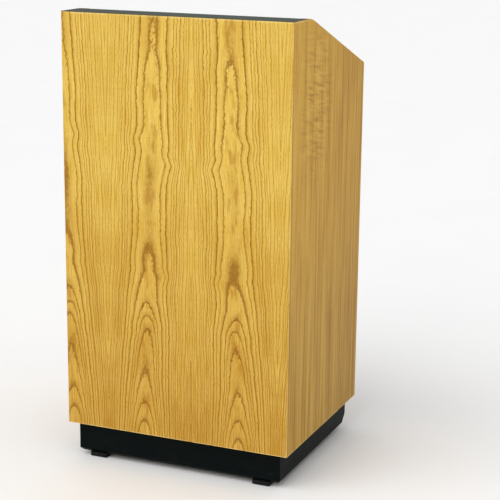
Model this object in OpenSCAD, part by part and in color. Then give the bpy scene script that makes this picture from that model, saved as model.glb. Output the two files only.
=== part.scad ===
// Floor-standing wooden pulpit: a veneered cabinet, open at the speaker's side, on a recessed plinth.
// Millimetres. +Z is up, the audience is towards -Y and the speaker stands towards +Y.
// The origin is on the floor, under the middle of the cabinet.

/* [Cabinet] */
// Overall width
body_w = 635; // [560:5:700]
// Overall depth
body_d = 530; // [500:5:600]
// Overall height, feet included
total_h = 1200; // [1120:5:1280]
// Thickness of the veneered boards
board_t = 19; // [18:1:22]
// Thickness of the laminate skins and of the oak edge bands
skin_t = 1.2; // [0.8:0.2:2]
// Eased arris on the two front corners
arris = 1.4; // [0.8:0.2:2]

/* [Top] */
// Depth of the level ledge, measured to where the slope's line meets its level
ledge_d = 118; // [100:2:140]
// Fall of the reading slope, in degrees
slope_angle = 20; // [15:1:22]
// Radius that blends the level edge of a side into its slope
nose_r = 142; // [80:2:160]
// Depth of the reading surface below the sides' sloping edges
reading_recess = 22; // [16:1:30]
// Thickness of the reading board
reading_t = 18; // [16:1:20]
// Depth of the book stop, along the slope
stop_t = 19; // [12:1:25]
// How far the book stop stays below the sides' sloping edges
stop_gap = 2; // [1:1:6]
// Height of the rear apron's lower edge above the floor
apron_z = 930; // [880:5:950]

/* [Plinth] */
// Height of the plinth's boards
plinth_h = 84; // [80:2:100]
// Thickness of the plinth's boards
plinth_t = 18; // [16:1:20]
// Setback of the plinth from the cabinet's sides
plinth_side_in = 24; // [20:1:30]
// Setback of the plinth from the cabinet's front
plinth_front_in = 18; // [14:1:24]
// Setback of the plinth from the cabinet's back
plinth_rear_in = 13; // [10:1:16]
// Bevel along the plinth's lower outer edges
plinth_bevel = 8; // [4:1:10]
// Cut at the rear lower corners, which clears the floor when the pulpit is tilted back
tilt_cut = 30; // [26:1:32]

/* [Feet] */
// Thickness of a foot block
foot_h = 12; // [10:1:16]
// Side of a square foot block
foot_w = 50; // [40:2:56]
// Distance of a foot from the plinth's side face
foot_in = 30; // [28:1:36]
// Position of the rear feet's front faces behind the middle of the cabinet
rear_foot_y = 118; // [110:1:120]

/* [Tilt wheels] */
// Wheel diameter
wheel_d = 50; // [48:1:52]
// Wheel width over the tyre
wheel_w = 20; // [18:1:22]
// Gap between the wheels and the floor while the pulpit stands on its feet
wheel_gap = 2; // [1:0.5:4]
// Distance of the wheels' middles from the middle of the cabinet
wheel_x = 240; // [238:1:242]
// Distance of the axles behind the middle of the cabinet
wheel_y = 205; // [203:1:206]
// Axle diameter
axle_d = 8; // [6:1:8]

/* [Shelf] */
// Height of the shelf pins' middles above the floor
pin_z = 560; // [480:4:640]
// Depth of the shelf
shelf_d = 430; // [380:5:440]
// Pitch of the shelf-pin holes
pin_pitch = 32; // [25:1:40]
// Shelf-pin hole diameter
pin_d = 5; // [4:0.5:7]

/* [Hidden] */

$fn = 48;
oak = "#d2a24a";
oak_side = "#b98f4c";
oak_solid = "#b5843f";
charcoal = "#3a443c";
satin_black = "#15171a";
raw_wood = "#cdb083";
glide_black = "#26282a";
zinc = "#b4b8bb";
wheel_grey = "#6d7072";
tyre_grey = "#34363a";

// Outer faces of the cabinet, and the inner faces of its boards
x_out = body_w / 2;
x_in = x_out - board_t;
y_front = -body_d / 2;
y_in = y_front + board_t;
y_rear = body_d / 2;
z_body = foot_h + plinth_h;
z_deck = z_body + board_t;
z_top = total_h;

// The slope: its line starts at slope_y on the top's level, and the blend starts at nose_y
slope_y = y_front + ledge_d;
nose_y = slope_y - nose_r * tan(slope_angle / 2);
nose_steps = 16;
n_board = -(reading_recess + skin_t);
n_under = n_board - reading_t;
stop_s0 = (y_rear - slope_y) / cos(slope_angle) - stop_t;
ledge_z = z_top - skin_t - board_t;

// Battens and cleats
cleat = 19;
cleat_x = x_in - cleat;
top_rail_h = 60;
bottom_cleat_y0 = y_in + cleat;
bottom_cleat_y1 = 230;
batten_s0 = 10;
batten_s1 = 400;
apron_cleat_z0 = apron_z + 10;
apron_cleat_h = 55;

// Shelf
pin_clear = 0.05;
pin_depth = 10;
pin_out = 9;
pin_collar_t = 0.8;
pin_collar_r = 3.6;
pin_columns = [-120, 190];
pin_rows = [for (i = [-2:2]) pin_z + i * pin_pitch];
shelf_gap = 1;
shelf_rest_gap = 0.3;
shelf_y1 = 250;
shelf_y0 = shelf_y1 - shelf_d;
shelf_z = pin_z + pin_d / 2 + shelf_rest_gap;

// Plinth, its inner blocks and the feet
x_pl = x_out - plinth_side_in;
x_pl_in = x_pl - plinth_t;
y_pl0 = y_front + plinth_front_in;
y_pl1 = y_rear - plinth_rear_in;
block_w = 70;
front_block_d = 40;
rear_block_d = 60;
front_block_y = y_pl0 + plinth_t;
rear_block_y = rear_foot_y - 5;
foot_x = x_pl - foot_in - foot_w / 2;
front_foot_y = y_pl0 + 1;
foot_r = 5;

// Tilt wheels
wheel_z = wheel_d / 2 + wheel_gap;
tyre_t = 4.5;
bush_r = 6;
bush_w = wheel_w + 3.4;
running_gap = 0.05;
fork_t = 3;
fork_inner = bush_w / 2 + 0.3;
plate_t = 2.6;
plate_x = 60;
plate_y = 46;
plate_z = 71.9;
packer_x = 70;
packer_y = 52;
plate_hole_x = 24;
plate_hole_y = 15;
axle_head = 5;
nut_t = 6.5;

// Wood screws
screw_d = 4;
screw_head = 8;
screw_gap = 0.05;
cleat_screw_l = 30;
stop_screw_l = 33;
foot_screw_l = 34;
castor_screw_l = 18;
block_screw_l = 45;
packer_screw_l = 35;

// Height at y of a line that runs along the slope, n above it
function slope_z(y, n) = z_top - (y - slope_y) * tan(slope_angle) + n / cos(slope_angle);

// Where a point s along the slope's line and n above it lies
function on_slope(s, n) = [
    slope_y + s * cos(slope_angle) + n * sin(slope_angle),
    z_top - s * sin(slope_angle) + n * cos(slope_angle)
];

// The blend and the slope of a side's outline, t inside its outer face, from the rear corner to the ledge
function sloping_edge(t) = concat(
    [[y_rear - t, slope_z(y_rear - t, -t)]],
    [for (i = [nose_steps:-1:0])
        let (a = 90 - slope_angle * i / nose_steps)
        [nose_y + (nose_r - t) * cos(a), z_top - nose_r + (nose_r - t) * sin(a)]]
);

function reversed(list) = [for (i = [len(list) - 1:-1:0]) list[i]];

// Extrudes a YZ outline along X from x0
module along_x(x0, w) {
    translate([x0, 0, 0]) rotate([90, 0, 90]) linear_extrude(w) children();
}

// Extrudes an XZ outline along Y from y0
module along_y(y0, l) {
    translate([0, y0 + l, 0]) rotate([90, 0, 0]) linear_extrude(l) children();
}

module both_sides() {
    for (m = [0, 1]) mirror([m, 0, 0]) children();
}

module left_side() {
    mirror([1, 0, 0]) children();
}

module box(lo, hi) {
    translate(lo) cube(hi - lo);
}

// Screws. Each place is a head's middle and the rotation that turns +Z to the driving direction.

function to_side(sx) = [0, 90 * sx, 0];
to_front = [90, 0, 0];
to_rear = [-90, 0, 0];
upwards = [0, 0, 0];
downwards = [180, 0, 0];
into_slope = [-slope_angle, 0, 0];

corner_cleat_places = concat(
    [for (sx = [-1, 1], z = [230, 640, 1050]) [[sx * (x_in - cleat / 2), y_in + cleat, z], to_front]],
    [for (sx = [-1, 1], z = [310, 720, 1120]) [[sx * cleat_x, y_in + cleat / 2, z], to_side(sx)]]
);
bottom_cleat_places = concat(
    [for (sx = [-1, 1], y = [-190, 0, 190]) [[sx * cleat_x, y, z_deck + cleat / 2], to_side(sx)]],
    [for (sx = [-1, 1], y = [-90, 100]) [[sx * (x_in - cleat / 2), y, z_deck + cleat], downwards]]
);
batten_under = n_under - cleat;
batten_places = concat(
    [for (sx = [-1, 1], s = [60, 205, 350])
        let (p = on_slope(s, n_under - cleat / 2)) [[sx * cleat_x, p[0], p[1]], to_side(sx)]],
    [for (sx = [-1, 1], s = [120, 290])
        let (p = on_slope(s, batten_under)) [[sx * (x_in - cleat / 2), p[0], p[1]], into_slope]]
);
ledge_cleat_places = concat(
    [for (x = [-200, 0, 200]) [[x, y_in + cleat, ledge_z - cleat / 2], to_front]],
    [for (x = [-120, 120]) [[x, y_in + cleat / 2, ledge_z - cleat], upwards]]
);
apron_cleat_places = concat(
    [for (sx = [-1, 1]) [[sx * (x_in - cleat / 2), y_rear - board_t - cleat, apron_cleat_z0 + 15], to_rear]],
    [for (sx = [-1, 1]) [[sx * cleat_x, y_rear - board_t - cleat / 2, apron_cleat_z0 + 35], to_side(sx)]]
);
cleat_places = concat(
    corner_cleat_places, bottom_cleat_places, batten_places, ledge_cleat_places, apron_cleat_places
);
stop_places = [for (x = [-220, 0, 220])
    let (p = on_slope(stop_s0 + 9, n_under)) [[x, p[0], p[1]], into_slope]];
block_places = concat(
    [for (sx = [-1, 1], x = [225, 258]) [[sx * x, front_block_y + front_block_d / 2, z_deck], downwards]],
    [for (sx = [-1, 1], x = [225, 258]) [[sx * x, rear_block_y + rear_block_d / 2, z_deck], downwards]]
);
packer_places = [for (sx = [-1, 1], dx = [-12, 12]) [[sx * (wheel_x + dx), wheel_y, z_deck], downwards]];
foot_places = concat(
    [for (sx = [-1, 1], dx = [-13, 13]) [[sx * (foot_x + dx), front_foot_y + 33, 0], upwards]],
    [for (sx = [-1, 1], dx = [-13, 13]) [[sx * (foot_x + dx), rear_foot_y + foot_w / 2, 0], upwards]]
);
castor_places = [for (sx = [-1, 1], dx = [-1, 1], dy = [-1, 1])
    [[sx * (wheel_x + dx * plate_hole_x), wheel_y + dy * plate_hole_y, plate_z], upwards]];

// A countersunk screw, its head sunk by sink, with its cross recess
module screw(l, sink) {
    head_h = (screw_head - screw_d) / 2;
    difference() {
        union() {
            translate([0, 0, sink]) cylinder(d1 = screw_head, d2 = screw_d, h = head_h, $fn = 32);
            translate([0, 0, sink + head_h]) cylinder(d = screw_d, h = l - head_h - 2, $fn = 24);
            translate([0, 0, sink + l - 2]) cylinder(d1 = screw_d, d2 = 1, h = 2, $fn = 24);
        }
        for (a = [0, 90]) rotate([0, 0, a]) translate([-2.2, -0.4, sink - 1]) cube([4.4, 0.8, 2.2]);
    }
}

// The hole for that screw
module screw_hole(l, sink) {
    head_h = (screw_head - screw_d) / 2;
    hole_d = screw_d + 2 * screw_gap;
    mouth_d = screw_head + 2 * screw_gap;
    translate([0, 0, -0.5]) cylinder(d = hole_d, h = sink + l + 1, $fn = 24);
    translate([0, 0, sink]) cylinder(d1 = mouth_d, d2 = hole_d, h = head_h, $fn = 32);
    translate([0, 0, -0.5]) cylinder(d = mouth_d, h = sink + 0.5, $fn = 32);
}

module at_each(places) {
    for (p = places) translate(p[0]) rotate(p[1]) children();
}

module cleat_holes() {
    at_each(cleat_places) screw_hole(cleat_screw_l, 0);
}

// Cabinet boards

// The plan of the front board, mitred to the sides
front_plan = [
    [x_in, y_in],
    [x_out - arris / 2, y_front + arris / 2],
    [x_out - arris, y_front],
    [arris - x_out, y_front],
    [arris / 2 - x_out, y_front + arris / 2],
    [-x_in, y_in]
];

// The plan of the right side, mitred to the front board
side_plan = [
    [x_in, y_in],
    [x_out - arris / 2, y_front + arris / 2],
    [x_out, y_front + arris],
    [x_out, y_rear],
    [x_in, y_rear]
];

module front_panel() {
    color(oak) difference() {
        translate([0, 0, z_body]) linear_extrude(z_top - skin_t - z_body) polygon(front_plan);
        cleat_holes();
    }
}

module pin_holes() {
    for (y = pin_columns, z = pin_rows)
        translate([x_in - 1, y, z]) rotate([0, 90, 0]) cylinder(d = pin_d, h = pin_depth + 1);
}

module side_panel() {
    outline = concat(
        [[y_front, z_body], [y_rear - skin_t, z_body]],
        sloping_edge(skin_t),
        [[y_front, z_top - skin_t]]
    );
    color(oak_side) difference() {
        intersection() {
            along_x(x_in, board_t) polygon(outline);
            translate([0, 0, z_body]) linear_extrude(z_top) polygon(side_plan);
        }
        pin_holes();
        cleat_holes();
    }
}

module side_panel_left() {
    left_side() side_panel();
}

module side_panel_right() {
    side_panel();
}

// Oak band over a side's blend, slope and rear edge
module side_edge_band() {
    outline = concat(
        [[y_rear, z_body]], sloping_edge(0), reversed(sloping_edge(skin_t)), [[y_rear - skin_t, z_body]]
    );
    color(oak_solid) along_x(x_in, board_t) polygon(outline);
}

module side_edge_band_left() {
    left_side() side_edge_band();
}

module side_edge_band_right() {
    side_edge_band();
}

module bottom_panel() {
    color(oak_side) difference() {
        box([-x_in, y_in, z_body], [x_in, y_rear - skin_t, z_deck]);
        cleat_holes();
        at_each(block_places) screw_hole(block_screw_l, 0);
        at_each(packer_places) screw_hole(packer_screw_l, 0);
    }
}

module bottom_edge_band() {
    color(oak_solid) box([-x_in, y_rear - skin_t, z_body], [x_in, y_rear, z_deck]);
}

// Ledge

module ledge_board() {
    color(oak_side) difference() {
        box([-x_in, y_in, ledge_z], [x_in, nose_y, z_top - skin_t]);
        cleat_holes();
    }
}

module ledge_laminate() {
    plan = [
        [x_out, nose_y],
        [x_out, y_front + arris],
        [x_out - arris, y_front],
        [arris - x_out, y_front],
        [-x_out, y_front + arris],
        [-x_out, nose_y]
    ];
    color(charcoal) translate([0, 0, z_top - skin_t]) linear_extrude(skin_t) polygon(plan);
}

module ledge_cleat() {
    color(raw_wood) difference() {
        box([-cleat_x, y_in, ledge_z - cleat], [cleat_x, y_in + cleat, ledge_z]);
        cleat_holes();
    }
}

module top_rail() {
    color(oak_side) box([-x_in, nose_y - board_t, ledge_z - top_rail_h], [x_in, nose_y, ledge_z]);
}

// Reading slope

// A slab along the reading slope, between the offsets n0 and n1 from the sides' sloping edges
module slope_slab(y0, y1, n0, n1) {
    outline = [[y0, slope_z(y0, n0)], [y1, slope_z(y1, n0)], [y1, slope_z(y1, n1)], [y0, slope_z(y0, n1)]];
    along_x(-x_in, 2 * x_in) polygon(outline);
}

module reading_board() {
    color(oak_side) difference() {
        slope_slab(nose_y, y_rear - skin_t, n_under, n_board);
        cleat_holes();
        at_each(stop_places) screw_hole(stop_screw_l, 0);
    }
}

module reading_edge_band() {
    color(oak_solid) slope_slab(y_rear - skin_t, y_rear, n_under, n_board);
}

// It runs from the ledge down to the book stop
module reading_laminate() {
    outline = [
        [nose_y, slope_z(nose_y, n_board)],
        on_slope(stop_s0, n_board),
        on_slope(stop_s0, -reading_recess),
        [nose_y, slope_z(nose_y, -reading_recess)]
    ];
    color(charcoal) along_x(-x_in, 2 * x_in) polygon(outline);
}

// Its front face is square to the slope and its back is flush with the cabinet's
module book_stop() {
    edge = 4;
    crown = slope_z(y_rear, -stop_gap);
    outline = [
        on_slope(stop_s0, n_board),
        [y_rear, slope_z(y_rear, n_board)],
        [y_rear, crown - edge],
        [y_rear - edge / 3, crown - edge / 3],
        [y_rear - edge, slope_z(y_rear - edge, -stop_gap)],
        on_slope(stop_s0 + edge, -stop_gap),
        on_slope(stop_s0 + edge / 3, -stop_gap - edge / 3),
        on_slope(stop_s0, -stop_gap - edge)
    ];
    end_gap = 0.5;
    color(oak_solid) difference() {
        along_x(end_gap - x_in, 2 * (x_in - end_gap)) polygon(outline);
        at_each(stop_places) screw_hole(stop_screw_l, 0);
    }
}

module book_stop_screws() {
    color(zinc) at_each(stop_places) screw(stop_screw_l, 0);
}

module rear_apron() {
    y0 = y_rear - board_t;
    outline = [
        [y0, apron_z],
        [y_rear, apron_z],
        [y_rear, slope_z(y_rear, n_under)],
        [y0, slope_z(y0, n_under)]
    ];
    color(oak_side) difference() {
        along_x(-x_in, 2 * x_in) polygon(outline);
        cleat_holes();
    }
}

module apron_cleats() {
    y1 = y_rear - board_t;
    color(raw_wood) difference() {
        both_sides() box([cleat_x, y1 - cleat, apron_cleat_z0], [x_in, y1, apron_cleat_z0 + apron_cleat_h]);
        cleat_holes();
    }
}

module reading_batten() {
    outline = [
        on_slope(batten_s0, n_under),
        on_slope(batten_s1, n_under),
        on_slope(batten_s1, n_under - cleat),
        on_slope(batten_s0, n_under - cleat)
    ];
    color(raw_wood) difference() {
        along_x(cleat_x, cleat) polygon(outline);
        cleat_holes();
    }
}

module reading_batten_left() {
    left_side() reading_batten();
}

module reading_batten_right() {
    reading_batten();
}

// Inner cleats

module corner_cleat() {
    color(raw_wood) difference() {
        box([cleat_x, y_in, z_deck], [x_in, y_in + cleat, ledge_z]);
        cleat_holes();
    }
}

module corner_cleat_left() {
    left_side() corner_cleat();
}

module corner_cleat_right() {
    corner_cleat();
}

module bottom_cleat() {
    color(raw_wood) difference() {
        box([cleat_x, bottom_cleat_y0, z_deck], [x_in, bottom_cleat_y1, z_deck + cleat]);
        cleat_holes();
    }
}

module bottom_cleat_left() {
    left_side() bottom_cleat();
}

module bottom_cleat_right() {
    bottom_cleat();
}

module cleat_screws() {
    color(zinc) at_each(cleat_places) screw(cleat_screw_l, 0);
}

// Shelf

module shelf() {
    color(oak_side) box(
        [shelf_gap - x_in, shelf_y0, shelf_z],
        [x_in - shelf_gap, shelf_y1 - skin_t, shelf_z + board_t]
    );
}

module shelf_edge_band() {
    color(oak_solid) box(
        [shelf_gap - x_in, shelf_y1 - skin_t, shelf_z],
        [x_in - shelf_gap, shelf_y1, shelf_z + board_t]
    );
}

module shelf_pins() {
    pin_r = pin_d / 2 - pin_clear;
    color(zinc) both_sides() for (y = pin_columns) translate([x_in, y, pin_z]) rotate([0, 90, 0]) {
        translate([0, 0, -pin_out]) cylinder(r = pin_r, h = pin_out + pin_depth - 0.5, $fn = 32);
        translate([0, 0, -pin_collar_t]) cylinder(r = pin_collar_r, h = pin_collar_t, $fn = 32);
    }
}

// Plinth

// The front board, mitred to the plinth's sides
module plinth_front() {
    section = [
        [y_pl0 + plinth_bevel, foot_h],
        [y_pl0 + plinth_t, foot_h],
        [y_pl0 + plinth_t, z_body],
        [y_pl0, z_body],
        [y_pl0, foot_h + plinth_bevel]
    ];
    plan = [[-x_pl, y_pl0], [x_pl, y_pl0], [x_pl_in, y_pl0 + plinth_t], [-x_pl_in, y_pl0 + plinth_t]];
    color(satin_black) intersection() {
        along_x(-x_pl, 2 * x_pl) polygon(section);
        linear_extrude(z_body) polygon(plan);
    }
}

// A side board, mitred at the front and cut away at its rear lower corner
module plinth_side() {
    section = [
        [x_pl_in, foot_h],
        [x_pl - plinth_bevel, foot_h],
        [x_pl, foot_h + plinth_bevel],
        [x_pl, z_body],
        [x_pl_in, z_body]
    ];
    plan = [[x_pl_in, y_pl0 + plinth_t], [x_pl, y_pl0], [x_pl, y_pl1], [x_pl_in, y_pl1]];
    profile = [
        [y_pl0, foot_h],
        [y_pl1 - tilt_cut, foot_h],
        [y_pl1, foot_h + tilt_cut],
        [y_pl1, z_body],
        [y_pl0, z_body]
    ];
    color(satin_black) intersection() {
        along_y(y_pl0, y_pl1 - y_pl0) polygon(section);
        linear_extrude(z_body) polygon(plan);
        along_x(x_pl_in, plinth_t) polygon(profile);
    }
}

module plinth_side_left() {
    left_side() plinth_side();
}

module plinth_side_right() {
    plinth_side();
}

module plinth_rear() {
    color(satin_black) box([-x_pl_in, y_pl1 - plinth_t, foot_h + tilt_cut], [x_pl_in, y_pl1, z_body]);
}

module plinth_blocks() {
    color(raw_wood) difference() {
        both_sides() {
            box([x_pl_in - block_w, front_block_y, foot_h], [x_pl_in, front_block_y + front_block_d, z_body]);
            box([x_pl_in - block_w, rear_block_y, foot_h], [x_pl_in, rear_block_y + rear_block_d, z_body]);
        }
        at_each(block_places) screw_hole(block_screw_l, 0);
        at_each(foot_places) screw_hole(foot_screw_l, 2);
    }
}

module plinth_screws() {
    color(zinc) {
        at_each(block_places) screw(block_screw_l, 0);
        at_each(packer_places) screw(packer_screw_l, 0);
    }
}

// Feet

// A square foot block with rounded corners and a small lower bevel, its front face at y0
module foot(y0) {
    bevel = 1.5;
    half = foot_w / 2 - foot_r;
    color(glide_black) difference() {
        translate([foot_x, y0 + foot_w / 2, 0]) hull()
            for (sx = [-1, 1], sy = [-1, 1]) translate([sx * half, sy * half, 0]) {
                cylinder(r = foot_r - bevel, h = foot_h, $fn = 32);
                translate([0, 0, bevel]) cylinder(r = foot_r, h = foot_h - bevel, $fn = 32);
            }
        at_each(foot_places) screw_hole(foot_screw_l, 2);
    }
}

module foot_front_left() {
    left_side() foot(front_foot_y);
}

module foot_front_right() {
    foot(front_foot_y);
}

module foot_rear_left() {
    left_side() foot(rear_foot_y);
}

module foot_rear_right() {
    foot(rear_foot_y);
}

module foot_screws() {
    color(zinc) at_each(foot_places) screw(foot_screw_l, 2);
}

// Tilt wheels

module castor_packer() {
    color(raw_wood) difference() {
        translate([wheel_x - packer_x / 2, wheel_y - packer_y / 2, plate_z + plate_t])
            cube([packer_x, packer_y, z_body - plate_z - plate_t]);
        at_each(castor_places) screw_hole(castor_screw_l, 0);
        at_each(packer_places) screw_hole(packer_screw_l, 0);
    }
}

module castor_packer_left() {
    left_side() castor_packer();
}

module castor_packer_right() {
    castor_packer();
}

// One leg of the fork, from the plate down round the axle
module fork_leg() {
    top_w = 32;
    end_r = 9;
    rotate([90, 0, 90]) {
        translate([wheel_y, wheel_z, 0]) cylinder(r = end_r, h = fork_t);
        linear_extrude(fork_t) polygon([
            [wheel_y - end_r, wheel_z],
            [wheel_y + end_r, wheel_z],
            [wheel_y + top_w / 2, plate_z],
            [wheel_y - top_w / 2, plate_z]
        ]);
    }
}

module castor_fork() {
    color(zinc) difference() {
        union() {
            translate([wheel_x - plate_x / 2, wheel_y - plate_y / 2, plate_z])
                cube([plate_x, plate_y, plate_t]);
            translate([wheel_x - fork_inner - fork_t, 0, 0]) fork_leg();
            translate([wheel_x + fork_inner, 0, 0]) fork_leg();
        }
        translate([wheel_x, wheel_y, wheel_z]) rotate([0, 90, 0])
            cylinder(d = axle_d + 2 * running_gap, h = 60, center = true);
        at_each(castor_places) screw_hole(castor_screw_l, 0);
    }
}

module castor_fork_left() {
    left_side() castor_fork();
}

module castor_fork_right() {
    castor_fork();
}

// The axle bolt, its head outwards, and its nut
module castor_axle() {
    reach = fork_inner + fork_t;
    color(zinc) translate([wheel_x, wheel_y, wheel_z]) rotate([0, 90, 0]) {
        translate([0, 0, -reach - nut_t - 2]) cylinder(d = axle_d, h = 2 * reach + nut_t + 2);
        translate([0, 0, reach]) cylinder(d = 14.4, h = axle_head, $fn = 6);
        translate([0, 0, -reach - nut_t]) difference() {
            cylinder(d = 14.4, h = nut_t, $fn = 6);
            translate([0, 0, -1]) cylinder(d = axle_d, h = nut_t + 2);
        }
    }
}

module castor_axle_left() {
    left_side() castor_axle();
}

module castor_axle_right() {
    castor_axle();
}

module at_axle() {
    translate([wheel_x, wheel_y, wheel_z]) rotate([0, 90, 0]) children();
}

// The wheel's body: a hub, a thin web and a rim
module castor_wheel() {
    rim_r = wheel_d / 2 - tyre_t;
    rim_t = 3.5;
    hub_r = 10;
    web = 6;
    hub_w = wheel_w + 1;
    color(wheel_grey) at_axle() rotate_extrude() polygon([
        [bush_r, -hub_w / 2],
        [hub_r, -hub_w / 2],
        [hub_r, -web / 2],
        [rim_r - rim_t, -web / 2],
        [rim_r - rim_t, 1 - wheel_w / 2],
        [rim_r, 1 - wheel_w / 2],
        [rim_r, wheel_w / 2 - 1],
        [rim_r - rim_t, wheel_w / 2 - 1],
        [rim_r - rim_t, web / 2],
        [hub_r, web / 2],
        [hub_r, hub_w / 2],
        [bush_r, hub_w / 2]
    ]);
}

module castor_wheel_left() {
    left_side() castor_wheel();
}

module castor_wheel_right() {
    castor_wheel();
}

module castor_tyre() {
    round_r = 2.5;
    r0 = wheel_d / 2 - tyre_t;
    r1 = wheel_d / 2;
    half = wheel_w / 2;
    corner = [for (a = [0:15:90]) [r1 - round_r + round_r * cos(a), half - round_r + round_r * sin(a)]];
    color(tyre_grey) at_axle() rotate_extrude()
        polygon(concat([[r0, -half]], [for (p = reversed(corner)) [p[0], -p[1]]], corner, [[r0, half]]));
}

module castor_tyre_left() {
    left_side() castor_tyre();
}

module castor_tyre_right() {
    castor_tyre();
}

module castor_bush() {
    color("#d8d2c4") at_axle() difference() {
        cylinder(r = bush_r, h = bush_w, center = true);
        cylinder(r = axle_d / 2 + running_gap, h = bush_w + 2, center = true);
    }
}

module castor_bush_left() {
    left_side() castor_bush();
}

module castor_bush_right() {
    castor_bush();
}

module castor_screws() {
    color(zinc) at_each(castor_places) screw(castor_screw_l, 0);
}

front_panel();
side_panel_left();
side_panel_right();
side_edge_band_left();
side_edge_band_right();
ledge_board();
ledge_laminate();
top_rail();
reading_board();
reading_laminate();
reading_edge_band();
book_stop();
book_stop_screws();
rear_apron();
apron_cleats();
shelf();
shelf_edge_band();
shelf_pins();
bottom_panel();
bottom_edge_band();
corner_cleat_left();
corner_cleat_right();
bottom_cleat_left();
bottom_cleat_right();
reading_batten_left();
reading_batten_right();
ledge_cleat();
cleat_screws();
plinth_front();
plinth_side_left();
plinth_side_right();
plinth_rear();
plinth_blocks();
plinth_screws();
foot_front_left();
foot_front_right();
foot_rear_left();
foot_rear_right();
foot_screws();
castor_packer_left();
castor_packer_right();
castor_fork_left();
castor_fork_right();
castor_axle_left();
castor_axle_right();
castor_wheel_left();
castor_wheel_right();
castor_tyre_left();
castor_tyre_right();
castor_bush_left();
castor_bush_right();
castor_screws();
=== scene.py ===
"""The looks of the wooden pulpit: materials, light, floor and camera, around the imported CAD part."""

import math

import bpy
from mathutils import Matrix, Vector


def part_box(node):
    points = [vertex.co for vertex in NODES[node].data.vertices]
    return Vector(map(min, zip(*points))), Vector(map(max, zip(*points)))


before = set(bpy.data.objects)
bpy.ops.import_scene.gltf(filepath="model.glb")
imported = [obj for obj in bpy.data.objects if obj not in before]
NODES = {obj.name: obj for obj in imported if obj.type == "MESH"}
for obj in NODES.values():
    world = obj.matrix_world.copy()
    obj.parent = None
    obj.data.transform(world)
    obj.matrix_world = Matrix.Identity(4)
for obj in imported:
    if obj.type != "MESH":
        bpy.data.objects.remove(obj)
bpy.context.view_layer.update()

PAIR = ("left", "right")

# Millimetres in a metre
MM = 1000.0

# Places on the part, in millimetres
BODY_LOW = min(v * MM for v in (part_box("front_panel")[0].z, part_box("side_panel_left")[0].z))
OUTER_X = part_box("side_panel_right")[1].x * MM
FRONT_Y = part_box("front_panel")[0].y * MM
REAR_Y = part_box("side_edge_band_right")[1].y * MM
PLINTH_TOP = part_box("plinth_front")[1].z * MM
PLINTH_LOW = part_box("plinth_front")[0].z * MM
TOP_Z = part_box("ledge_laminate")[1].z * MM


def colour(red, green, blue):
    """A display colour from 0 to 255 as the linear colour that shaders take."""

    def linear(level):
        share = level / 255
        return share / 12.92 if share <= 0.04045 else ((share + 0.055) / 1.055) ** 2.4

    return (linear(red), linear(green), linear(blue), 1.0)


# Shader constants of two finishes
MATT = {"Specular_IOR_Level": 0.10}
LACQUER = {"Coat_Weight": 0.06, "Coat_Roughness": 0.24, "Specular_IOR_Level": 0.04}

# Building materials


class Field:
    """A number that varies over a surface. Arithmetic on it adds Math nodes to its material."""

    def __init__(self, shader, socket):
        self.shader = shader
        self.socket = socket

    def __add__(self, other):
        return self.shader.math("ADD", self, other)

    def __sub__(self, other):
        return self.shader.math("SUBTRACT", self, other)

    def __rsub__(self, other):
        return self.shader.math("SUBTRACT", other, self)

    def __mul__(self, other):
        return self.shader.math("MULTIPLY", self, other)

    def __truediv__(self, other):
        return self.shader.math("DIVIDE", self, other)

    __radd__ = __add__

    def fraction(self):
        return self.shader.math("FRACT", self)

    def floor(self):
        return self.shader.math("FLOOR", self)

    def size(self):
        return self.shader.math("ABSOLUTE", self)

    def rise(self, low, high):
        """0 below low, 1 above high, and smooth between. With low above high it falls."""
        step = self.shader.node("ShaderNodeMapRange", interpolation_type="SMOOTHSTEP")
        self.shader.feed(step.inputs["Value"], self)
        if low < high:
            limits = {"From Min": low, "From Max": high, "To Min": 0.0, "To Max": 1.0}
        else:
            limits = {"From Min": high, "From Max": low, "To Min": 1.0, "To Max": 0.0}
        for name, value in limits.items():
            step.inputs[name].default_value = value
        return Field(self.shader, step.outputs["Result"])


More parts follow.
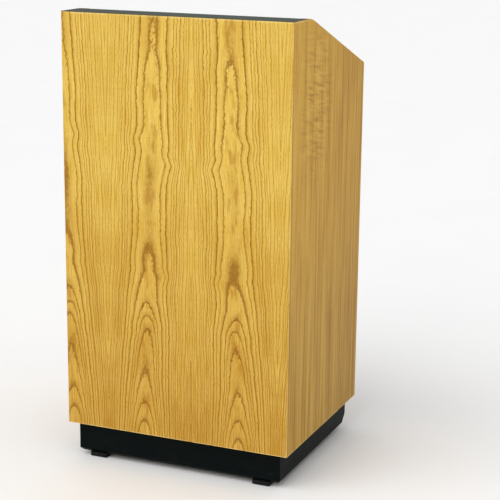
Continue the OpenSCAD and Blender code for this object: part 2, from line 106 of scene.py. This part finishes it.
class Shader:
    """One Principled material. Its x, y and z are the place in the part's frame, in millimetres."""

    def __init__(self, name, **constants):
        self.material = bpy.data.materials.new(name)
        self.material.use_nodes = True
        self.tree = self.material.node_tree
        self.tree.nodes.clear()
        output = self.node("ShaderNodeOutputMaterial")
        self.surface = self.node("ShaderNodeBsdfPrincipled")
        self.tree.links.new(self.surface.outputs["BSDF"], output.inputs["Surface"])
        for key, value in constants.items():
            self.surface.inputs[key.replace("_", " ")].default_value = value
        place = self.node("ShaderNodeTexCoord")
        split = self.node("ShaderNodeSeparateXYZ")
        self.tree.links.new(place.outputs["Object"], split.inputs["Vector"])
        self.x, self.y, self.z = (Field(self, split.outputs[axis]) * MM for axis in "XYZ")

    def node(self, kind, **settings):
        made = self.tree.nodes.new(kind)
        for key, value in settings.items():
            setattr(made, key, value)
        return made

    def feed(self, socket, value):
        if isinstance(value, Field):
            self.tree.links.new(value.socket, socket)
        else:
            socket.default_value = value

    def math(self, operation, *values):
        made = self.node("ShaderNodeMath", operation=operation)
        for socket, value in zip(made.inputs, values):
            self.feed(socket, value)
        return Field(self, made.outputs["Value"])

    def most(self, first, second):
        return self.math("MAXIMUM", first, second)

    def length(self, first, second):
        return self.math("SQRT", first * first + second * second)

    def place(self, *parts):
        joined = self.node("ShaderNodeCombineXYZ")
        for socket, part in zip(joined.inputs, parts):
            self.feed(socket, part)
        return Field(self, joined.outputs["Vector"])

    def noise(self, *parts, detail=1.0):
        """Smooth noise from 0 to 1, about 0.5 on average, with features about one unit wide."""
        made = self.node("ShaderNodeTexNoise", noise_dimensions="3D")
        self.feed(made.inputs["Vector"], self.place(*parts))
        made.inputs["Scale"].default_value = 1.0
        made.inputs["Detail"].default_value = detail
        return Field(self, made.outputs[0])

    def speckle(self, width, detail=2.0):
        """Noise with features about width millimetres wide in every direction."""
        return self.noise(self.x / width, self.y / width, self.z / width, detail=detail)

    def sway(self, reach, *parts, detail=1.0):
        """Noise about 0 that seldom passes reach either way."""
        return (self.noise(*parts, detail=detail) - 0.5) * (reach * 3)

    def dice(self, value):
        """A random number from 0 to 1 for each whole number."""
        made = self.node("ShaderNodeTexWhiteNoise", noise_dimensions="1D")
        self.feed(made.inputs["W"], value)
        return Field(self, made.outputs["Value"])

    def blend(self, share, first, second):
        """first where share is 0 and second where it is 1, for colours."""
        made = self.node("ShaderNodeMix", data_type="RGBA")
        by_name = {socket.identifier: socket for socket in made.inputs}
        self.feed(by_name["Factor_Float"], share)
        self.feed(by_name["A_Color"], first)
        self.feed(by_name["B_Color"], second)
        result = next(s for s in made.outputs if s.identifier == "Result_Color")
        return Field(self, result)

    def paint(self, shade, roughness, relief=None):
        """Sets the colour, the roughness and the relief, which is a height in millimetres."""
        self.feed(self.surface.inputs["Base Color"], shade)
        self.feed(self.surface.inputs["Roughness"], roughness)
        if relief is not None:
            bump = self.node("ShaderNodeBump")
            bump.inputs["Strength"].default_value = 1.0
            bump.inputs["Distance"].default_value = 1 / MM
            self.feed(bump.inputs["Height"], relief)
            self.tree.links.new(bump.outputs["Normal"], self.surface.inputs["Normal"])
        return self.material


# Oak

# The distance between the rings of the tree, in millimetres
RING_PITCH = 5.4

# How far to one side of the heart of the tree the straight-grained oak is cut, in millimetres
SIDE_BESIDE = 520.0
INNER_BESIDE = 700.0
BAND_BESIDE = 300.0

# How much closer the rings are in the bands than in the boards
BAND_CROWDING = 1.6


def oak(shader, across, along, depth, tones, seed, contrast=1.0, kink=1.0, swell=3.0, quiet=0.0):
    """Oak cut lengthwise at a depth from the heart of the tree, in millimetres.

    Across is measured from the line nearest the heart, and along runs with the grain. Kink scales how
    wavy the rings are, and swell is how far the depth wanders. The rings fade where quiet nears 1.
    Returns the colour, the roughness and the relief.
    """
    base, pale, warm, line, dark = tones

    # Long, middling and short waves in the grain
    wander = shader.sway(4.0 * kink, along / 210, seed + 3.0, detail=0.0)
    bend = shader.sway(2.0 * kink, across / 34, along / 30, seed, detail=2.5)
    jag = shader.sway(0.8 * kink, across / 12, along / 10, seed + 5.0, detail=1.0)
    offset = across + wander + bend + jag

    # The distance from the heart, counted in rings of uneven width
    ragged = shader.sway(0.7 * kink, across / 6, along / 10, seed + 13.0, detail=2.0)
    deep = depth + ragged + shader.sway(swell, across / 160, along / 150, seed + 7.0, detail=1.0)
    ring = shader.length(offset, deep) / RING_PITCH
    ring = ring + shader.sway(1.5, ring / 4.5, seed + 11.0, detail=1.0)

    # The dark early wood of each ring, a sharp line and a fringe outside it, stronger in some rings
    share = ring.fraction()
    core = shader.most(share.rise(0.21, 0.04), share.rise(0.93, 1.0))
    fringe = share.rise(0.55, 0.08)
    early = core * 0.62 + fringe * 0.34
    strength = (shader.dice(ring.floor() + seed) * 0.62 + 0.48) * (1.0 - quiet * 0.35)
    rings = early * strength

    # What runs through all the rings, with more pores in the early wood
    fibres = shader.noise(across / 0.9, along / 70, seed + 17.0, detail=2.0)
    cloud = shader.noise(across / 55, along / 240, seed + 23.0, detail=1.0)
    dashes = shader.noise(across / 0.42, along / 7, seed + 29.0, detail=1.5)
    pores = (dashes + early * 0.20).rise(0.60, 0.68)
    rays = shader.noise(across / 0.40, along / 17, seed + 37.0, detail=0.0).rise(0.68, 0.78)

    shade = shader.blend(fibres.rise(0.30, 0.70), base, pale)
    shade = shader.blend(cloud.rise(0.42, 0.75) * 0.4, shade, warm)
    shade = shader.blend(rings * (0.90 * contrast), shade, line)
    shade = shader.blend(pores * ((early * 0.16 + 0.26) * contrast), shade, dark)
    shade = shader.blend(rays * (0.40 * contrast), shade, dark)
    roughness = 0.38 + pores * 0.20 + fibres * 0.06
    relief = rings * -0.010 - pores * 0.040 + fibres * 0.008
    return shade, roughness, relief


# The width of a leaf of the front veneer and the place of a joint between two, in millimetres
LEAF_W = 240.7
JOINT_X = 47.7

# The crown line is the middle of a leaf's pointed figure: its distance from the joint at the foot of the
# panel, and how much nearer it comes for each millimetre of height
CROWN_AWAY = 138.0
CROWN_LEAN = 0.034

# The depth of the cut from the heart of the tree, in millimetres: at the foot of the crown line, how fast
# it grows below and above a height, what each leaf adds, and what it is at EDGE_REACH and more from the
# crown line. The faster it grows with height, the closer together are the points of the figure
CROWN_DEPTH = 55.6
LOW_SLOPE = 0.064
HIGH_SLOPE = 0.012
SLOPE_CHANGE = 450.0
LEAF_STEP = 1.2
EDGE_DEPTH = 80.0
EDGE_REACH = 170.0

# Places where the grain bends round a hidden pin knot: height, distance from the joint and reach of each,
# and how far off a bend is felt along and across the grain
KINKS = ((728.0, 58.0, 8.0), (438.0, 82.0, 6.0), (792.0, 150.0, -6.0))
KINK_ALONG = 30.0
KINK_ACROSS = 60.0


def front_veneer():
    """Crown-cut leaves laid as mirror pairs, with brown patches along their middles and a darker foot."""
    shader = Shader("oak_veneer_front", **LACQUER)
    height = shader.z - BODY_LOW
    span = shader.x - JOINT_X
    leaf = (span / LEAF_W).floor()
    from_joint = shader.math("PINGPONG", span, LEAF_W)
    across = from_joint - (CROWN_AWAY - height * CROWN_LEAN)
    for level, away, reach in KINKS:
        level_near = (height - level).size().rise(KINK_ALONG, 0.0)
        near = level_near * (from_joint - away).size().rise(KINK_ACROSS, 0.0)
        across = across + near * reach
    low = shader.math("MINIMUM", height, SLOPE_CHANGE)
    crown_depth = CROWN_DEPTH + low * LOW_SLOPE + (height - low) * HIGH_SLOPE + leaf * LEAF_STEP
    depth = (crown_depth - EDGE_DEPTH) * across.size().rise(EDGE_REACH, 10.0) + EDGE_DEPTH
    # The leaves grow darker and browner towards the foot
    toward_foot = height.rise(900.0, -150.0) * 0.76
    tones = (
        shader.blend(toward_foot, colour(208, 167, 50), colour(178, 127, 30)),
        shader.blend(toward_foot, colour(239, 205, 112), colour(206, 160, 76)),
        shader.blend(toward_foot, colour(198, 148, 46), colour(164, 110, 30)),
        shader.blend(toward_foot, colour(150, 100, 22), colour(126, 76, 10)),
        shader.blend(toward_foot, colour(134, 88, 20), colour(112, 68, 10)),
    )
    quiet = across.size().rise(55.0, 115.0) * height.rise(0.0, 600.0)
    shade, roughness, relief = oak(shader, across, shader.z, depth, tones, quiet=quiet, seed=1304.0)
    haze = shader.noise(across / 16, shader.z / 55, leaf, detail=2.0).rise(0.48, 0.66)
    heart = across.size().rise(26.0, 6.0)
    shade = shader.blend(haze * heart * 0.55, shade, colour(170, 116, 36))
    # The arrises of the front get a painted highlight
    return shader.paint(painted_arris_highlight(shader, shade), roughness, relief)


def painted_arris_highlight(shader, shade):
    """The shade, with a painted highlight on the edges round the cabinet, broken up in patches."""
    corner = shader.x.size().rise(OUTER_X - 1.8, OUTER_X - 0.5)
    below = shader.z.rise(BODY_LOW + 2.2, BODY_LOW + 1.0)
    front = shader.y.rise(FRONT_Y + 1.6, FRONT_Y + 0.6)
    crest = shader.z.rise(TOP_Z - 7.0, TOP_Z - 3.0) * 0.7
    edge = shader.most(shader.most(corner * front, below), crest)
    patchy = shader.noise(shader.x / 30, shader.y / 30, shader.z / 45, detail=2.0).rise(0.25, 0.6)
    # Painted highlight: a pale band on the front corner, along the foot and just below the top
    return shader.blend(edge * patchy * 0.6, shade, colour(246, 222, 150))


# The middle of the cross figure, behind the front and below the top, and how far the figure reaches from
# there to either side and up and down, in millimetres
CURL_BEHIND = 165.0
CURL_BELOW = 215.0
CURL_BESIDE = 150.0
CURL_ALONG = 260.0


def side_veneer():
    """Straight, quiet grain with darker and lighter streaks and a patch of faint cross figure."""
    shader = Shader("oak_veneer_side", **LACQUER)
    greyed = (shader.z - BODY_LOW).rise(820.0, -50.0) * 0.45
    tones = (
        shader.blend(greyed, colour(217, 166, 56), colour(156, 128, 68)),
        shader.blend(greyed, colour(236, 190, 84), colour(174, 146, 88)),
        shader.blend(greyed, colour(200, 142, 44), colour(142, 110, 54)),
        colour(150, 98, 20),
        colour(128, 82, 18),
    )
    across = shader.y + SIDE_BESIDE
    shade, roughness, relief = oak(
        shader, across, shader.z, 70.0, tones, contrast=0.95, kink=0.6, swell=4.0, seed=31.0
    )
    arcs = shader.noise(shader.y / 58, shader.z / 10 + shader.y / 52, 3.0, detail=1.5)
    beside = (shader.y - (FRONT_Y + CURL_BEHIND)).size().rise(CURL_BESIDE, 0.0)
    upright = (shader.z - (TOP_Z - CURL_BELOW)).size().rise(CURL_ALONG, 0.0)
    curl = beside * upright * shader.noise(shader.y / 60, shader.z / 90, 9.0).rise(0.25, 0.50)
    shade = shader.blend(arcs.rise(0.50, 0.66) * curl * 0.80, shade, colour(164, 112, 34))
    shade = shader.blend(arcs.rise(0.48, 0.34) * curl * 0.60, shade, colour(238, 198, 96))
    streak = shader.noise(shader.y / 11, shader.z / 600, 5.0, detail=3.0)
    shade = shader.blend(streak.rise(0.52, 0.66) * (0.60 - curl * 0.40), shade, colour(158, 106, 30))
    shade = shader.blend(streak.rise(0.48, 0.36) * 0.45, shade, colour(228, 188, 88))
    rearward = shader.y.rise(FRONT_Y, REAR_Y)
    shade = shader.blend(rearward * 0.22, shade, colour(142, 96, 38))
    # The arrises of the side get a painted highlight
    return shader.paint(painted_arris_highlight(shader, shade), roughness, relief)


def inner_veneer():
    """Quiet oak for the boards inside and on the speaker's side, with its grain from side to side."""
    shader = Shader("oak_veneer_inner", **LACQUER)
    tones = (
        colour(216, 174, 92),
        colour(228, 190, 112),
        colour(200, 154, 82),
        colour(178, 130, 62),
        colour(160, 114, 56),
    )
    across = shader.y + shader.z + INNER_BESIDE
    shade, roughness, relief = oak(
        shader, across, shader.x, 90.0, tones, contrast=0.6, kink=0.6, swell=6.0, seed=71.0
    )
    return shader.paint(shade, roughness, relief)


def band_oak(name, across_axis):
    """Solid oak lipping, with its grain lines running the length of the band."""
    shader = Shader(name, **LACQUER)
    width = getattr(shader, across_axis)
    along = shader.x + shader.y + shader.z - width
    tones = (
        colour(204, 156, 66),
        colour(218, 174, 84),
        colour(186, 136, 58),
        colour(150, 102, 38),
        colour(132, 88, 34),
    )
    across = width * BAND_CROWDING + BAND_BESIDE
    shade, roughness, relief = oak(
        shader, across, along, 60.0, tones, contrast=0.7, kink=0.4, swell=3.0, seed=51.0
    )
    return shader.paint(shade, roughness, relief)


# Other materials


def laminate():
    """Fine-textured charcoal laminate: a pebbled skin with a faint fleck and hairline rubs."""
    shader = Shader("charcoal_laminate", Specular_IOR_Level=0.14)
    pebble = shader.speckle(0.9)
    fleck = shader.speckle(2.4).rise(0.55, 0.75)
    cloud = shader.noise(shader.x / 90, shader.y / 60, shader.z / 60, detail=2.0)
    rub = shader.noise(shader.x / 60, shader.y / 0.7, shader.z / 0.7, detail=1.0).rise(0.66, 0.78)
    shade = shader.blend(cloud, colour(38, 50, 38), colour(50, 62, 50))
    shade = shader.blend(fleck * 0.35, shade, colour(88, 102, 88))
    shade = shader.blend(rub * 0.18, shade, colour(112, 122, 114))
    roughness = 0.36 + pebble * 0.10 + cloud * 0.06 - rub * 0.06
    return shader.paint(shade, roughness, pebble * 0.03)


def black_paint():
    """Satin black paint with orange peel, rubbed where shoes meet it and thin on the arrises."""
    shader = Shader("black_paint", Specular_IOR_Level=0.05)
    peel = shader.speckle(2.2, detail=1.0)
    cloud = shader.noise(shader.x / 70, shader.y / 70, shader.z / 40, detail=2.0)
    streak = shader.noise(shader.x / 26, shader.y / 26, shader.z / 1.1, detail=2.0).rise(0.62, 0.74)
    low = shader.z.rise(PLINTH_TOP - 8, PLINTH_LOW + 6)
    edge = shader.z.rise(PLINTH_LOW + 1.6, PLINTH_LOW + 0.3)
    chipped = shader.speckle(9).rise(0.52, 0.62)
    shade = shader.blend(cloud, colour(3, 7, 8), colour(6, 14, 13))
    shade = shader.blend(streak * low * 0.30, shade, colour(66, 70, 68))
    shade = shader.blend(edge * chipped * 0.5, shade, colour(92, 84, 70))
    roughness = 0.40 + cloud * 0.12 + streak * low * 0.12
    return shader.paint(shade, roughness, peel * 0.02)


# Softwood: the distance between its rings, and the place of its heart across the grain, in millimetres
SOFTWOOD_PITCH = 3.4
SOFTWOOD_HEART = (-31.0, -57.0)


def raw_wood(name, grain):
    """Planed softwood with rings about an axis that runs the way of the grain."""
    shader = Shader(name, Specular_IOR_Level=0.25)
    along = getattr(shader, grain)
    first, second = (getattr(shader, axis) for axis in "xyz" if axis != grain)
    waver = shader.sway(4.0, first / 40, second / 40, along / 260)
    ring = shader.length(first - SOFTWOOD_HEART[0], second - SOFTWOOD_HEART[1] + waver) / SOFTWOOD_PITCH
    share = ring.fraction()
    late = share.rise(0.55, 0.92) * share.rise(1.0, 0.93)
    fibres = shader.noise(first / 0.5, second / 0.5, along / 45, detail=2.0)
    cloud = shader.noise(first / 30, second / 30, along / 150, detail=1.0)
    shade = shader.blend(cloud, colour(216, 186, 118), colour(202, 168, 98))
    shade = shader.blend(late * 0.6, shade, colour(170, 126, 64))
    shade = shader.blend(fibres.rise(0.45, 0.75) * 0.3, shade, colour(232, 204, 148))
    return shader.paint(shade, 0.62 + fibres * 0.18, fibres * 0.03 - late * 0.02)


def zinc():
    """Bright zinc plate, clouded and finely scratched."""
    shader = Shader("zinc_steel", Metallic=1.0)
    cloud = shader.speckle(4, detail=3.0)
    scratch = shader.noise(shader.x / 0.3, shader.y / 7, shader.z / 3, detail=1.0)
    shade = shader.blend(cloud, colour(196, 199, 203), colour(222, 222, 218))
    shade = shader.blend(scratch.rise(0.62, 0.74) * 0.35, shade, colour(160, 164, 170))
    return shader.paint(shade, 0.24 + cloud * 0.16 + scratch * 0.08, scratch * 0.004)


def moulded(name, dark, light, roughness, grain, relief, **constants):
    """A moulded polymer: two close tones in soft clouds over a fine grain."""
    shader = Shader(name, **constants)
    cloud = shader.speckle(14)
    pits = shader.speckle(grain)
    rub = shader.noise(shader.x / 2, shader.y / 9, shader.z / 9, detail=1.0).rise(0.6, 0.76)
    shade = shader.blend(cloud, dark, light)
    shade = shader.blend(rub * 0.25, shade, light)
    return shader.paint(shade, roughness + pits * 0.12 + rub * 0.08, pits * relief)


def plain_floor():
    """A matt, nearly white floor."""
    shader = Shader("studio_floor")
    grain = shader.speckle(400)
    shade = shader.blend(grain, colour(247, 247, 247), colour(250, 250, 250))
    return shader.paint(shade, 0.6 + grain * 0.1)


def dress():
    """Gives each CAD node its material."""
    steel = zinc()
    foot = moulded("foot_plastic", colour(16, 17, 18), colour(26, 27, 28), 0.42, 0.6, 0.03, **MATT)
    wheel = moulded("wheel_plastic", colour(136, 138, 141), colour(156, 158, 160), 0.34, 0.8, 0.01)
    tyre = moulded("wheel_tyre", colour(40, 41, 43), colour(52, 53, 54), 0.55, 0.5, 0.02)
    bush = moulded("bush_plastic", colour(222, 216, 196), colour(232, 227, 210), 0.26, 1.2, 0.005)
    inner = inner_veneer()
    band_up = band_oak("oak_band_sides", "x")
    band_flat = band_oak("oak_band_boards", "z")
    raw = {axis: raw_wood(f"raw_wood_{axis}", axis) for axis in "xyz"}
    looks = [
        (front_veneer(), ["front_panel"]),
        (side_veneer(), [f"side_panel_{side}" for side in PAIR]),
        (inner, ["bottom_panel", "ledge_board", "top_rail", "reading_board", "rear_apron", "shelf"]),
        (band_up, [f"side_edge_band_{side}" for side in PAIR]),
        (band_flat, ["reading_edge_band", "bottom_edge_band", "shelf_edge_band", "book_stop"]),
        (laminate(), ["ledge_laminate", "reading_laminate"]),
        (raw["x"], ["ledge_cleat"]),
        (raw["y"], [f"{part}_{side}" for part in ("bottom_cleat", "reading_batten") for side in PAIR]),
        (raw["y"], [f"castor_packer_{side}" for side in PAIR]),
        (raw["z"], ["apron_cleats", "corner_cleat_left", "corner_cleat_right", "plinth_blocks"]),
        (black_paint(), ["plinth_front", "plinth_side_left", "plinth_side_right", "plinth_rear"]),
        (foot, [f"foot_{end}_{side}" for end in ("front", "rear") for side in PAIR]),
        (steel, ["book_stop_screws", "cleat_screws", "plinth_screws", "foot_screws", "castor_screws"]),
        (steel, ["shelf_pins"]),
        (steel, [f"castor_{part}_{side}" for part in ("fork", "axle") for side in PAIR]),
        (wheel, [f"castor_wheel_{side}" for side in PAIR]),
        (tyre, [f"castor_tyre_{side}" for side in PAIR]),
        (bush, [f"castor_bush_{side}" for side in PAIR]),
    ]
    for material, names in looks:
        for name in names:
            NODES[name].data.materials.clear()
            NODES[name].data.materials.append(material)


# Stage, in metres and degrees

FLOOR_HALF = 400.0

CAMERA_PLACE = (1.5983, -3.5599, 1.5138)
CAMERA_TURN = 22.845
CAMERA_FALL = 13.866
CAMERA_ROLL = 0.616
LENS_MM = 106.4
SENSOR_MM = 36.0


def make_floor():
    """A level floor that reaches almost to the horizon."""
    mesh = bpy.data.meshes.new("floor")
    corners = [(-FLOOR_HALF, -FLOOR_HALF, 0), (FLOOR_HALF, -FLOOR_HALF, 0)]
    corners += [(FLOOR_HALF, FLOOR_HALF, 0), (-FLOOR_HALF, FLOOR_HALF, 0)]
    mesh.from_pydata(corners, [], [(0, 1, 2, 3)])
    mesh.materials.append(plain_floor())
    floor = bpy.data.objects.new("floor", mesh)
    bpy.context.scene.collection.objects.link(floor)


def make_sun(name, comes_from, strength, softness):
    """An even light from far off. Softness is the width of its disc in the sky, in degrees."""
    lamp = bpy.data.lights.new(name, "SUN")
    lamp.energy = strength
    lamp.angle = math.radians(softness)
    sun = bpy.data.objects.new(name, lamp)
    sun.rotation_mode = "QUATERNION"
    sun.rotation_quaternion = Vector(comes_from).to_track_quat("Z", "Y")
    bpy.context.scene.collection.objects.link(sun)


def make_light():
    """A soft key from the front left, a softer one from above, and an even sky."""
    make_sun("key", comes_from=(-0.55, -1.0, 0.85), strength=1.50, softness=70)
    make_sun("top", comes_from=(0.1, -0.1, 1.0), strength=0.85, softness=80)
    world = bpy.data.worlds.new("studio")
    world.use_nodes = True
    background = world.node_tree.nodes["Background"]
    background.inputs["Color"].default_value = (1.0, 1.0, 1.0, 1.0)
    background.inputs["Strength"].default_value = 0.5
    bpy.context.scene.world = world
    bpy.context.scene.view_settings.view_transform = "Standard"


def make_camera():
    """From the front right and a little above, far off with a long lens."""
    lens = bpy.data.cameras.new("camera")
    lens.lens = LENS_MM
    lens.sensor_width = SENSOR_MM
    lens.clip_end = FLOOR_HALF * 2.5
    turn = Matrix.Rotation(math.radians(CAMERA_TURN), 4, "Z")
    tilt = Matrix.Rotation(math.radians(90 - CAMERA_FALL), 4, "X")
    roll = Matrix.Rotation(math.radians(CAMERA_ROLL), 4, "Z")
    camera = bpy.data.objects.new("camera", lens)
    camera.matrix_world = Matrix.Translation(CAMERA_PLACE) @ turn @ tilt @ roll
    bpy.context.scene.collection.objects.link(camera)
    bpy.context.scene.camera = camera


dress()
make_floor()
make_light()
make_camera()
